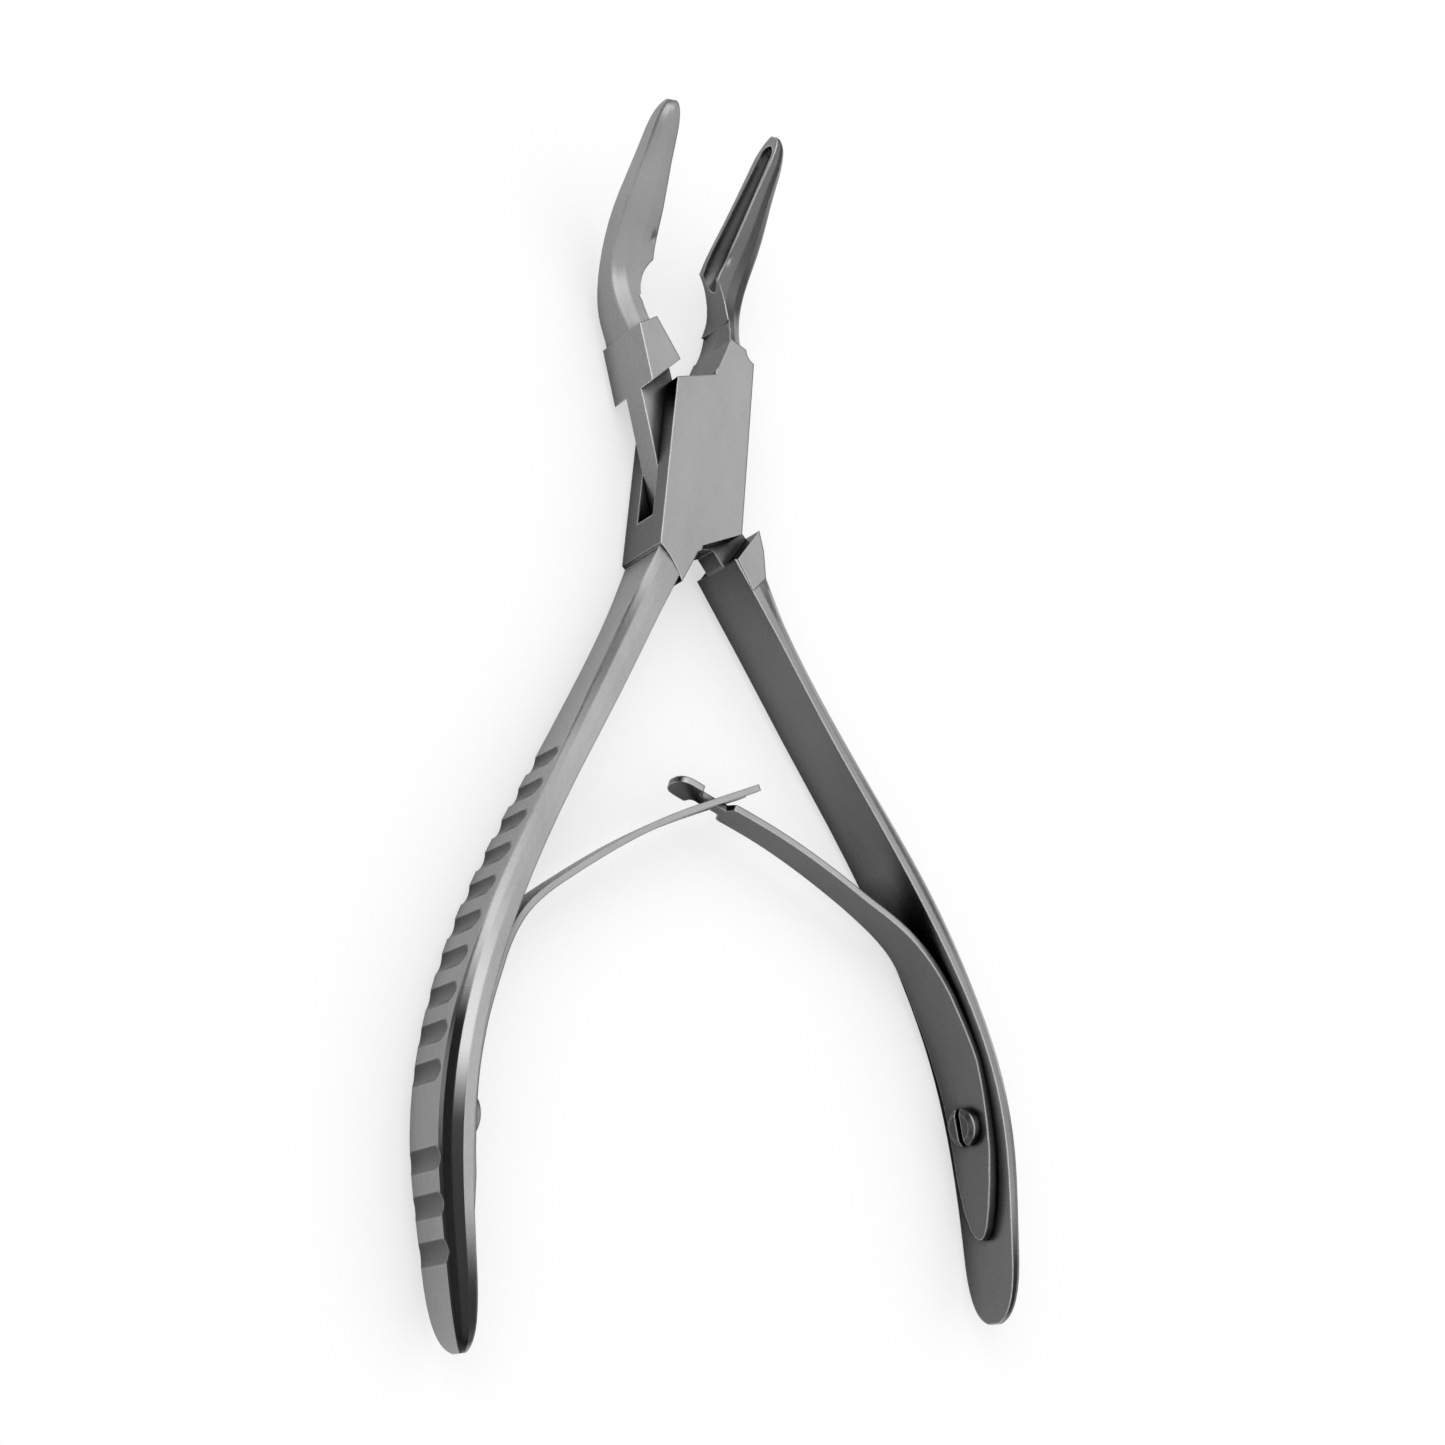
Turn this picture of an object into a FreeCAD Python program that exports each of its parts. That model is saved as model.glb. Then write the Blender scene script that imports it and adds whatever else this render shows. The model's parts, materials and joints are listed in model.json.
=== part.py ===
import FreeCAD
import Part
import Sketcher
import math
import os
import re

# Bone rongeur with a box joint, angled cupped jaws and a double leaf spring.
# Lengths are millimetres and angles are degrees.
# The frame's origin lies on the rear face of the box, under the pivot. +Y points to the jaws,
# +X to the right and +Z to the front. Each lever is drawn closed, on the pivot's mid plane,
# with its own axis along Y, and its placement then opens it by half of the opening angle.

os.makedirs("parts", exist_ok=True)
doc = FreeCAD.newDocument("Rongeur")
SIZES = {
    # Joint
    "half_opening": 9.83,  # angle of each lever from closed, as it rests
    "box_thickness": 7.7,  # thickness of the box, front to rear
    "box_half_width": 5.25,  # pivot to the sides of the box
    "slot_height": 3.1,  # height of the slot through the box
    "tongue_clearance": 0.05,  # gap between the tongue and each plate of the box
    "slot_radius": 8.45,  # radius of the closed ends of the slot
    "slot_end_clearance": 0.1,  # gap between the tongue's round ends and the slot
    "side_clearance": 0.15,  # set-back of the tongue lever's sides from the box sides
    "neck_clearance": 0.3,  # gap between the two levers' necks when closed
    "pin_radius": 1.6,  # radius of the pivot pin
    "pin_clearance": 0.04,  # gap between the pin and the tongue's bore
    # Plates of the box lever, seen from the front, the jaw to the right and the handle to the left
    "plate_shoulder_y": 10.9,  # left end of the plate's upper edge
    "plate_notch_y": 13.5,  # right end of the plate's upper edge, at the jaw's root
    "plate_fillet_x": 0.35,  # jaw's root above the notch
    "plate_fillet_y": 14.7,  # height of that point
    "land_inner_x": 1.75,  # inner top corner of the land at the jaw's root
    "land_top_y": 19.2,  # top of the land at the jaw's root
    "land_outer_x": 4.0,  # outer top corner of the land
    "land_outer_y": 18.65,  # height of the outer top corner
    "land_side_y": 17.2,  # end of the land on the side of the box
    "land_corner_rise": 0.3,  # rise of the land's rounded outer corner
    "notch_rise": 0.15,  # rise of the curve at the jaw's root
    "crotch_rise": 0.2,  # rise of the curve at the crotch of the plate
    "crotch_step_x": 0.5,  # step at the crotch, across
    "crotch_step_y": 0.9,  # step at the crotch, along
    "handle_land_rise": 0.3,  # rise of the pointed arch that ends the land
    "plate_heel_y": -5.8,  # right end of the plate's lower edge
    "plate_crotch_y": -9.2,  # left end of the plate's lower edge, at the handle
    "handle_land_y": -14.6,  # end of the flat land on the handle's inner edge
    "handle_land_x": 2.35,  # distance of that end from the lever's axis
    "land_side_end_x": 5.6,  # outer side of the plate at its lower end, where it flares
    "land_side_end_y": -10.9,  # end of the flat land on the outer side
    # Shoulders of the tongue lever, seen from the front, the jaw to the left and the handle to the right
    "jaw_step_outer_y": 11.25,  # outer end of the step below the jaw
    "jaw_step_inner_y": 14.25,  # inner end of the step below the jaw
    "jaw_land_x": 2.4,  # inner top corner of the land under the jaw
    "handle_step_outer_x": 5.7,  # outer end of the step above the handle
    "handle_step_outer_y": -6.7,  # height of that end
    "shoulder_inner_x": 2.85,  # lower end of the flat shoulder on the handle's inner edge
    "shoulder_inner_y": -14.0,  # height of that end
    "shoulder_outer_y": -12.5,  # height of the shoulder's lower end on the outer side
    "shoulder_side_y": -9.2,  # height where the shoulder's outer side ends
    "handle_step_inner_x": 1.6,  # inner end of the step above the handle
    "handle_step_inner_y": -10.2,  # height of that end
    "bevel_count": 4,  # soft bevels that round each side of the handles and jaws
    # Cross-sections of the handle, the right one, each at a distance below the pivot
    # Handle inside the joint
    "throat_down": 9.0, "throat_inset": 0.8, "throat_wall": 3.6, "throat_width": 7.36,
    "throat_flat": 6.9, "throat_lean": 21.5,
    # Handle at the end of the joint
    "neck_down": 12.4, "neck_inset": 2.12, "neck_wall": 3.5, "neck_width": 7.5, "neck_flat": 6.6,
    "neck_lean": 21.5,
    # Handle below the joint
    "collar_down": 16.0, "collar_inset": 3.55, "collar_wall": 3.3, "collar_width": 7.56,
    "collar_flat": 5.4, "collar_lean": 21.3,
    # Handle's narrowest part
    "waist_down": 20.0, "waist_inset": 5.1, "waist_wall": 3.12, "waist_width": 7.6, "waist_flat": 4.4,
    "waist_lean": 21.0,
    # Straight part of the handle
    "shank_down": 30.0, "shank_inset": 8.8, "shank_wall": 2.95, "shank_width": 7.6, "shank_flat": 4.4,
    "shank_lean": 21.5,
    # Start of the finger grooves
    "palm_down": 40.0, "palm_inset": 12.8, "palm_wall": 2.6, "palm_width": 7.85, "palm_flat": 5.8,
    "palm_lean": 21.5,
    # Widening of the handle
    "swell_down": 50.0, "swell_inset": 16.5, "swell_wall": 2.55, "swell_width": 8.4, "swell_flat": 6.9,
    "swell_lean": 18.5,
    # Start of the bow
    "bow_down": 60.0, "bow_inset": 19.45, "bow_wall": 2.7, "bow_width": 9.1, "bow_flat": 6.7,
    "bow_lean": 13.0,
    # Widest part of the bow
    "crest_down": 70.0, "crest_inset": 21.15, "crest_wall": 2.75, "crest_width": 9.7, "crest_flat": 5.9,
    "crest_lean": 5.0,
    # Turn of the bow
    "heel_down": 80.0, "heel_inset": 20.85, "heel_wall": 2.75, "heel_width": 9.35, "heel_flat": 5.4,
    "heel_lean": -7.5,
    # Straight tail of the handle
    "tail_down": 90.0, "tail_inset": 18.95, "tail_wall": 2.35, "tail_width": 8.0, "tail_flat": 4.8,
    "tail_lean": -12.0,
    # Rounding of the handle's end
    "toe_down": 95.4, "toe_inset": 17.75, "toe_wall": 1.95, "toe_width": 6.7, "toe_flat": 4.2,
    "toe_lean": -13.0,
    # Rounding close to the end
    "rim_down": 97.7, "rim_inset": 17.25, "rim_wall": 1.35, "rim_width": 4.5, "rim_flat": 3.0,
    "rim_lean": -13.5,
    # End of the handle
    "end_down": 98.7, "end_inset": 17.05, "end_wall": 0.6, "end_width": 1.6, "end_flat": 1.2,
    "end_lean": -14.0,
    # Cross-sections of the jaw, the right one, along its own axis
    "jaw_angle": 36.5,  # angle of the jaw to the front
    "jaw_base_y": 28.6,  # jaw's axis at the base of the cup
    "jaw_base_z": 0.3,  # height of that point over the mid plane
    # Jaw inside the land
    "root_up": 17.0, "root_rise": 0.0, "root_lean": 0.0, "root_reach": 5.1, "root_rear": -3.8,
    "root_front": 3.1, "root_outer_rear": -3.6, "root_outer_front": 2.6,
    # Nose of the ridge above the land
    "ridge_up": 20.8, "ridge_rise": -0.15, "ridge_lean": 6.0, "ridge_reach": 5.1, "ridge_rear": -3.45,
    "ridge_front": 3.05, "ridge_outer_rear": -3.15, "ridge_outer_front": 1.15,
    # Bend of the jaw
    "knee_up": 23.6, "knee_rise": -0.45, "knee_lean": 14.0, "knee_reach": 5.1, "knee_rear": -3.1,
    "knee_front": 2.9, "knee_outer_rear": -2.6, "knee_outer_front": 0.9,
    # Base of the cup
    "base_along": 0.0, "base_reach": 4.85, "base_rear": -2.6, "base_front": 2.6,
    "base_outer_rear": -1.2, "base_outer_front": 1.1,
    # Lower part of the cup
    "blade_along": 6.0, "blade_reach": 4.3, "blade_rear": -2.25, "blade_front": 2.7,
    "blade_outer_rear": -1.0, "blade_outer_front": 1.0,
    # Upper part of the cup
    "nose_along": 12.5, "nose_reach": 2.95, "nose_rear": -1.55, "nose_front": 2.8,
    "nose_outer_rear": -0.3, "nose_outer_front": 1.4,
    # Rounding of the tip
    "tip_along": 17.0, "tip_reach": 1.95, "tip_rear": -0.75, "tip_front": 2.8, "tip_outer_rear": 0.5,
    "tip_outer_front": 1.5,
    # End of the tip
    "point_along": 18.5, "point_reach": 0.8, "point_rear": 0.35, "point_front": 1.75,
    "point_outer_rear": 0.8, "point_outer_front": 1.3,
    "arch_depth": 2.6,  # depth of the arch between the jaws into each jaw
    "arch_low_rise": 0.2,  # rise of the arch's lower curve
    "arch_top_rise": 0.55,  # rise of the arch's round top
    "arch_corner": 0.1,  # foot of the arch below the land's top corner
    "arch_waist_y": 23.2,  # height where the arch is deepest
    "arch_foot_along": -7.8,  # lower end of the arch's upper part, along the jaw's axis
    "arch_shoulder_along": -4.6,  # start of the arch's round top, along the jaw's axis
    "arch_top_along": 0.4,  # top of the arch, along the jaw's axis
    "cup_tilt": 3.9,  # tilt of the cup to the jaw's axis
    "cup_base_radius": 2.2,  # radius of the cup near its base
    "cup_tip_radius": 1.35,  # radius of the cup at its tip
    "cup_start": 3.0,  # start of the cup's full radius along the jaw
    "cup_length": 13.0,  # length of the tapering part of the cup
    "cup_run_out": 5.0,  # length of the cup's run-out at the base
    # Finger grooves across the handles' outer faces
    "groove_width": 2.4,  # width of a finger groove
    "groove_depth": 0.42,  # depth of a finger groove
    "groove_front_upper": 2.5,  # front end of the upper grooves before the mid plane
    "groove_front_lower": 3.15,  # front end of the lower grooves before the mid plane
    "groove_count_upper": 10,  # grooves above the spring screw
    "groove_count_lower": 3,  # grooves below the spring screw
    "groove_first_down": 38.6,  # first groove below the pivot
    "groove_pitch_upper": 3.9,  # spacing of the upper grooves
    "groove_second_down": 82.0,  # first groove below the screw
    "groove_pitch_lower": 4.15,  # spacing of the lower grooves
    # Leaf springs, the right one in its lever's closed frame
    "screw_down": 77.3,  # spring screws below the pivot
    "screw_radius": 1.0,  # radius of the screw's shank
    "screw_head_radius": 2.15,  # radius of the screw's head
    "screw_head_height": 1.0,  # height of the screw's head at its rim
    "screw_dome": 0.4,  # height of the head's bevelled crown
    "screw_crown_radius": 1.5,  # radius of the flat on the crown
    "screw_slot": 0.75,  # width of the screw's slot
    "screw_slot_depth": 0.8,  # depth of the screw's slot
    "screw_bite": 2.1,  # depth of the screw in the handle
    "leaf_thickness": 0.75,  # thickness of the spring leaf
    "fork_gap": 0.15,  # gap between the fork and the neck, each side
    "link_width": 1.6,  # width of the neck that links the springs
    "link_length": 3.7,  # twice the length of that neck before the crossing
    "leaf_hole_clearance": 0.1,  # gap round the screw in the leaf
    # Pointed tail of the leaf, over the handle's tail
    "leaf_tail_shift": 0.2, "leaf_tail_lift": 1.15, "leaf_tail_half_width": 0.45,
    # Rounding of the leaf's tail
    "leaf_ogive_down": 86.5, "leaf_ogive_lift": 1.25, "leaf_ogive_half_width": 1.95,
    # Leaf below the screw, over the handle's heel
    "leaf_heel_lift": 1.15, "leaf_heel_half_width": 3.0,
    # Leaf above the screw, over the handle's crest
    "leaf_crest_lift": 0.85, "leaf_crest_half_width": 3.6,
    # Leaf where it leaves the handle
    "leaf_rise_x": 19.3, "leaf_rise_down": 62.5, "leaf_rise_lean": 13.0, "leaf_rise_half_width": 3.3,
    # Bend of the leaf
    "leaf_bend_x": 17.0, "leaf_bend_down": 56.6, "leaf_bend_lean": 31.0, "leaf_bend_half_width": 2.65,
    # Start of the leaf's arm
    "leaf_arm_x": 11.0, "leaf_arm_down": 50.2, "leaf_arm_lean": 48.0, "leaf_arm_half_width": 2.05,
    # Middle of the leaf's arm
    "leaf_middle_x": 0.0, "leaf_middle_down": 41.9, "leaf_middle_lean": 54.5,
    "leaf_middle_half_width": 1.9,
    # Crossing of the two leaves
    "leaf_meet_down": 37.5, "leaf_meet_lean": 59.5, "leaf_meet_half_width": 1.9,
    # Straight ends of the leaves past the crossing
    "fork_lean": 53.0,  # angle of the forked leaf at the crossing
    "prong_length": 6.6,  # length of the prongs past the crossing
    "link_reach": 1.8,  # start of the T-shaped head past the crossing
    "head_reach": 4.8,  # end of the T-shaped head past the crossing
    "head_radius": 2.1,  # radius of the head's rounded end
    "fork_length": 3.6,  # closed end of the fork before the crossing
    # Bodies that only shape others
    "overlap": 0.5,  # run of one body into the next within a piece
    "clear_run": 20.0,  # run of a cutting body past the faces it opens
}

sheet = doc.addObject("Spreadsheet::Sheet", "Sizes")
for row, (alias, value) in enumerate(SIZES.items(), 1):
    sheet.set(f"A{row}", alias.replace("_", " "))
    sheet.set(f"B{row}", str(value))
    sheet.setAlias(f"B{row}", alias)
doc.recompute()


def bound(formula):
    """A formula as the document's objects read it, with each size taken from the sheet."""
    return re.sub("[a-z][a-z_]*", lambda word: "Sizes." * (word.group() in SIZES) + word.group(), str(formula))


def val(formula):
    """The number that a formula gives."""
    return float(sheet.evalExpression(str(formula)))


def bind(thing, **formulas):
    """Bind properties of an object to formulas; a double underscore stands for a dot."""
    for name, formula in formulas.items():
        thing.setExpression(name.replace("__", "."), bound(formula))
    return thing


def feature(kind, name, **links):
    """An object of the document with its linked objects or plain settings."""
    thing = doc.addObject(kind, name)
    for prop, value in links.items():
        setattr(thing, prop, value)
    return thing


def fix_point(sketch, geometry, end, x, y):
    """Hold one end of a sketch element at two formulas."""
    for kind, axis, formula in (("DistanceX", "x", x), ("DistanceY", "y", y)):
        name = f"{axis}_{geometry}_{end}"
        constraint = Sketcher.Constraint(kind, -1, 1, geometry, end, val(formula))
        sketch.renameConstraint(sketch.addConstraint(constraint), name)
        sketch.setExpression(f"Constraints.{name}", bound(formula))


def chord_radius(start, stop, rise):
    """Formula for the radius of an arc with this rise between two corners."""
    square = f"((({stop[0]}) - ({start[0]})) ^ 2 + (({stop[1]}) - ({start[1]})) ^ 2)"
    return f"({square} / 4 + ({rise}) ^ 2) / (2 * ({rise}))"


def outline(name, *corners):
    """Closed sketch through corners of (x, y) formulas. A third formula is the rise of an arc that
    leads on from that corner, and a fourth entry of "right" bends it to the right of its way."""
    sketch = doc.addObject("Sketcher::SketchObject", name)
    count = len(corners)
    spots = [FreeCAD.Vector(val(corner[0]), val(corner[1]), 0) for corner in corners]
    turned = []
    for index, corner in enumerate(corners):
        start = spots[index]
        stop = spots[(index + 1) % count]
        if len(corner) < 3:
            sketch.addGeometry(Part.LineSegment(start, stop))
            turned.append(False)
            continue
        side = -1 if corner[-1] == "right" else 1
        across = FreeCAD.Vector(start.y - stop.y, stop.x - start.x, 0).normalize()
        middle = (start + stop) / 2 + across * side * val(corner[2])
        sketch.addGeometry(Part.Arc(start, middle, stop))
        turned.append(side == 1)
    for index, corner in enumerate(corners):
        after = (index + 1) % count
        stop_end = 1 if turned[index] else 2
        start_end = 2 if turned[after] else 1
        sketch.addConstraint(Sketcher.Constraint("Coincident", index, stop_end, after, start_end))
        fix_point(sketch, index, 2 if turned[index] else 1, corner[0], corner[1])
        if len(corner) > 2:
            formula = chord_radius(corner, corners[after], corner[2])
            radius = Sketcher.Constraint("Radius", index, val(formula))
            sketch.renameConstraint(sketch.addConstraint(radius), f"radius_{index}")
            sketch.setExpression(f"Constraints.radius_{index}", bound(formula))
    return sketch


def half_round(name, place, reach, low, high, outer_low, outer_high):
    """Sketch of one cross-section: a flat inner face at x = 0, a narrower flat outer face at the
    reach, and two sides of soft bevels on arcs that leave the inner face at right angles."""
    sides = []
    for inner, outer, sign in ((high, outer_high, "-"), (low, outer_low, "+")):
        drop = f"abs(({inner}) - ({outer}))"
        radius = f"(({reach}) ^ 2 + {drop} ^ 2) / (2 * {drop})"
        side = [("0", inner)]
        for step in range(1, int(val("bevel_count"))):
            along = f"({reach}) * sin(90 * {step} / bevel_count)"
            side.append((along, f"({inner}) {sign} ({radius} - sqrt(({radius}) ^ 2 - ({along}) ^ 2))"))
        sides.append(side + [(reach, outer)])
    sketch = outline(name, *sides[0], *reversed(sides[1]))
    sketch.setExpression("Placement", bound(place))
    return sketch


def loft(name, sections):
    """Smooth solid through cross-sections."""
    return feature("Part::Loft", name, Sections=sections, Solid=True, Ruled=False)


def plate(name, sketch, thickness):
    """Solid of a sketch in the XY plane, equally thick to both sides of it."""
    solid = feature("Part::Extrusion", name, Base=sketch, DirMode="Custom", Solid=True, Symmetric=True)
    solid.Dir = FreeCAD.Vector(0, 0, 1)
    return bind(solid, LengthFwd=thickness)


def fuse(name, *parts):
    """Union of parts, joined one after another."""
    whole = parts[0]
    for number, piece in enumerate(parts[1:], 1):
        whole = feature("Part::Fuse", f"{name}_{number}", Base=whole, Tool=piece, Refine=True)
    return whole


def cut(name, base, tool):
    return feature("Part::Cut", name, Base=base, Tool=tool, Refine=True)


def common(name, base, tool):
    return feature("Part::Common", name, Base=base, Tool=tool, Refine=True)


def mirrored(name, source):
    """The source, mirrored from one side of its lever's axis to the other."""
    return feature("Part::Mirroring", name, Source=source, Normal=FreeCAD.Vector(1, 0, 0))


def drum(name, radius, height):
    """Cylinder round the pivot, centred on the mid plane."""
    return bind(feature("Part::Cylinder", name), Radius=radius, Height=height, Placement__Base__z=f"-({height}) / 2")


# Handle, the right one: a loft with a flat inner face, rounded front and rear sides and a flat
# outer face
HANDLE = ["throat", "neck", "collar", "waist", "shank", "palm", "swell", "bow", "crest", "heel", "tail", "toe", "rim",
          "end"]
handle_sections = [
    half_round(f"handle_{name}", f"placement(vector({name}_inset; -{name}_down; 0); rotation({name}_lean; 0; 90))",
               f"{name}_wall", f"-{name}_width / 2", f"{name}_width / 2", f"-{name}_flat / 2", f"{name}_flat / 2")
    for name in HANDLE]
handle = loft("right_handle", handle_sections)

# Jaw, the right one: a loft along an axis that bends to the front, its flat inner face closing
# on the other jaw's
places = {name: f"placement(vector(0; {name}_up; {name}_rise); rotation(0; 0; 90 + {name}_lean))"
          for name in ("root", "ridge", "knee")}
for name in ("base", "blade", "nose", "tip", "point"):
    y = f"jaw_base_y + {name}_along * cos(jaw_angle)"
    z = f"jaw_base_z + {name}_along * sin(jaw_angle)"
    places[name] = f"placement(vector(0; {y}; {z}); rotation(0; 0; 90 + jaw_angle))"
jaw_sections = [half_round(f"jaw_{name}", place, f"{name}_reach", f"{name}_rear", f"{name}_front",
                           f"{name}_outer_rear", f"{name}_outer_front")
                for name, place in places.items()]
jaw = loft("right_jaw", jaw_sections)

# Arch between the jaws, cut square to the box below the jaw's bend and square to the jaw above it
arch_low = plate("arch_low", outline(
    "arch_low_outline", ("plate_fillet_x", "plate_fillet_y"), ("land_inner_x", "land_top_y - arch_corner", "arch_low_rise", "right"),
    ("arch_depth", "arch_waist_y"), ("-overlap", "arch_waist_y"), ("-overlap", "plate_fillet_y")), "3 * box_thickness")
arch_high = plate("arch_high", outline(
    "arch_high_outline", ("-overlap", "arch_foot_along"), ("land_inner_x", "arch_foot_along", "arch_low_rise", "right"),
    ("arch_depth", "arch_shoulder_along", "arch_top_rise", "right"), ("0", "arch_top_along"),
    ("-overlap", "arch_top_along")),
    "3 * box_thickness")
bind(arch_high, Placement="placement(vector(0; jaw_base_y; jaw_base_z); rotation(0; 0; jaw_angle))")

# Hollow of the cup: a tapering round trough with a round tip and a long run-out at the base
trough_place = "placement(vector(0; jaw_base_y; jaw_base_z); rotation(0; 0; jaw_angle + cup_tilt - 90))"
trough = bind(feature("Part::Cone", "trough"), Radius1="cup_base_radius", Radius2="cup_tip_radius",
              Height="cup_length", Placement=f"{trough_place} * placement(vector(0; 0; cup_start); rotation(0; 0; 0))")
trough_tip = bind(feature("Part::Sphere", "trough_tip"), Radius="cup_tip_radius",
                  Placement=f"{trough_place} * placement(vector(0; 0; cup_start + cup_length); rotation(0; 0; 0))")
trough_base = bind(feature("Part::Ellipsoid", "trough_base"), Radius1="cup_run_out", Radius2="cup_base_radius",
                   Placement=f"{trough_place} * placement(vector(0; 0; cup_start); rotation(0; 0; 0))")
hollow = fuse("jaw_hollow", arch_low, arch_high, trough, trough_tip, trough_base)
cupped_jaw = cut("cupped_jaw", jaw, hollow)

# Box lever: left handle, box and right jaw in one piece
box_side = "box_half_width"
plate_outline = outline(
    "plate_outline",
    (f"-{box_side}", "plate_shoulder_y"), ("0", "plate_notch_y", "notch_rise", "left"),
    ("plate_fillet_x", "plate_fillet_y"), ("land_inner_x", "land_top_y"),
    ("land_outer_x", "land_outer_y", "land_corner_rise", "right"), (box_side, "land_side_y"), (box_side, "plate_heel_y"),
    ("0", "plate_crotch_y", "crotch_rise", "left"), ("-crotch_step_x", "plate_crotch_y - crotch_step_y"),
    ("-handle_land_x", "handle_land_y", "handle_land_rise", "right"), ("-land_side_end_x", "land_side_end_y"))
box_plates = plate("box_plates", plate_outline, "box_thickness")
slot_upper = plate("slot_upper", outline(
    "slot_upper_outline", (f"-{box_side} * 2", "0"), ("neck_clearance", "0"),
    ("neck_clearance", "land_top_y"), (f"-{box_side} * 2", "land_top_y")), "slot_height")
slot_lower = plate("slot_lower", outline(
    "slot_lower_outline", (f"{box_side} * 2", "0"), ("-neck_clearance", "0"),
    ("-neck_clearance", "-land_top_y"), (f"{box_side} * 2", "-land_top_y")), "slot_height")
slot = fuse("slot", drum("slot_drum", "slot_radius", "slot_height"), slot_upper, slot_lower)
box_bore = drum("box_bore", "pin_radius", "box_thickness * 2")
box_blank = fuse("box_blank", box_plates, cupped_jaw, mirrored("left_handle", handle))

# Where a lever's own surfaces lie, found on its handle loft
def face_at(down, outer):
    """Point on the right handle's inner or outer face at a distance below the pivot, on the mid
    plane, and the angle of the face's outward direction to +X."""
    hits = []
    for step in (-0.5, 0, 0.5):
        far = FreeCAD.Vector(val("clear_run + crest_inset"), -down + step, 0)
        ray = handle.Shape.common(Part.makeLine(FreeCAD.Vector(0, -down + step, 0), far))
        spots = sorted((corner.Point for corner in ray.Vertexes), key=lambda spot: spot.x)
        hits.append(spots[-1] if outer else spots[0])
    along = hits[2] - hits[0]
    return hits[1], math.degrees(math.atan2(-along.x, along.y))


# Finger grooves: each cutter is let into the outer face by the groove's depth, runs out to the
# rear and tapers to a round end at the front
def groove_cutter(name, down, front):
    """Cutter along Z at one groove."""
    radius = "((groove_width / 2) ^ 2 + groove_depth ^ 2) / (2 * groove_depth)"
    spot, lean = face_at(down, True)
    out = FreeCAD.Vector(math.cos(math.radians(lean)), math.sin(math.radians(lean)), 0)
    centre = spot + out * (val(radius) - val("groove_depth"))
    body = bind(feature("Part::Cylinder", f"{name}_body"), Radius=radius, Height="clear_run")
    taper = bind(feature("Part::Cone", f"{name}_taper"), Radius1=radius, Radius2=f"{radius} - groove_depth",
                 Height="groove_width / 2")
    level = val(f"{front} - groove_width / 2")
    body.Placement = FreeCAD.Placement(FreeCAD.Vector(centre.x, centre.y, level - val("clear_run")), FreeCAD.Rotation())
    taper.Placement = FreeCAD.Placement(FreeCAD.Vector(centre.x, centre.y, level), FreeCAD.Rotation())
    return fuse(name, body, taper)


doc.recompute()
cutters = []
for zone, first in (("upper", "groove_first_down"), ("lower", "groove_second_down")):
    for number in range(int(val(f"groove_count_{zone}"))):
        down = val(f"{first} + {number} * groove_pitch_{zone}")
        cutters.append(groove_cutter(f"groove_{zone}_{number + 1}", down, f"groove_front_{zone}"))

# Tapped hole for the spring's screw, square to the inner face
seat, seat_lean = face_at(val("screw_down"), False)
screw_place = FreeCAD.Placement(seat, FreeCAD.Rotation(seat_lean, 0, 0) * FreeCAD.Rotation(FreeCAD.Vector(0, 1, 0), 90))
screw_hole = bind(feature("Part::Cylinder", "screw_hole"), Radius="screw_radius", Height="screw_bite + overlap")
screw_hole.Placement = screw_place * FreeCAD.Placement(FreeCAD.Vector(0, 0, -val("overlap")), FreeCAD.Rotation())
handle_cuts = fuse("handle_cuts", screw_hole, *cutters)

box_cuts = fuse("box_cuts", slot, box_bore, mirrored("left_handle_cuts", handle_cuts))
box_lever = cut("box_lever", box_blank, box_cuts)

# Tongue lever: right handle, tongue and left jaw in one piece
tongue_side = "(box_half_width - side_clearance)"
step_x = "neck_clearance"
jaw_shoulder = plate("jaw_shoulder", outline(
    "jaw_shoulder_outline", (f"-{tongue_side}", "jaw_step_outer_y"), (f"-{step_x}", "jaw_step_inner_y"),
    ("-jaw_land_x", "land_top_y + overlap / 2"), (f"-{tongue_side}", "land_outer_y - overlap / 2")), "box_thickness")
handle_shoulder = plate("handle_shoulder", outline(
    "handle_shoulder_outline", ("handle_step_inner_x", "handle_step_inner_y"),
    ("shoulder_inner_x", "shoulder_inner_y"), (tongue_side, "shoulder_outer_y"),
    ("handle_step_outer_x", "shoulder_side_y"), ("handle_step_outer_x", "handle_step_outer_y")), "box_thickness")
swing = plate("swing", outline(
    "swing_outline", ("-clear_run", "0"), ("-clear_run", "jaw_step_outer_y"), (f"-{tongue_side}", "jaw_step_outer_y"),
    (f"-{step_x}", "jaw_step_inner_y"), ("clear_run", "jaw_step_inner_y"),
    ("clear_run", "handle_step_outer_y"), ("handle_step_outer_x", "handle_step_outer_y"),
    ("handle_step_inner_x", "handle_step_inner_y"), ("-clear_run", "handle_step_inner_y")), "box_thickness * 2")
tongue_height = "slot_height - 2 * tongue_clearance"
tongue_slab = plate("tongue_slab", outline(
    "tongue_slab_outline", (f"-{tongue_side}", "-slot_radius"), (tongue_side, "-slot_radius"),
    (tongue_side, "slot_radius"), (f"-{tongue_side}", "slot_radius")), tongue_height)
tongue_disc = common("tongue_disc", drum("tongue_drum", "slot_radius - slot_end_clearance", tongue_height), tongue_slab)
tongue_upper = plate("tongue_upper", outline(
    "tongue_upper_outline", (f"-{tongue_side}", "0"), ("0", "0"), (f"-{step_x}", "jaw_step_inner_y + overlap"),
    (f"-{tongue_side}", "jaw_step_outer_y + overlap")), tongue_height)
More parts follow.
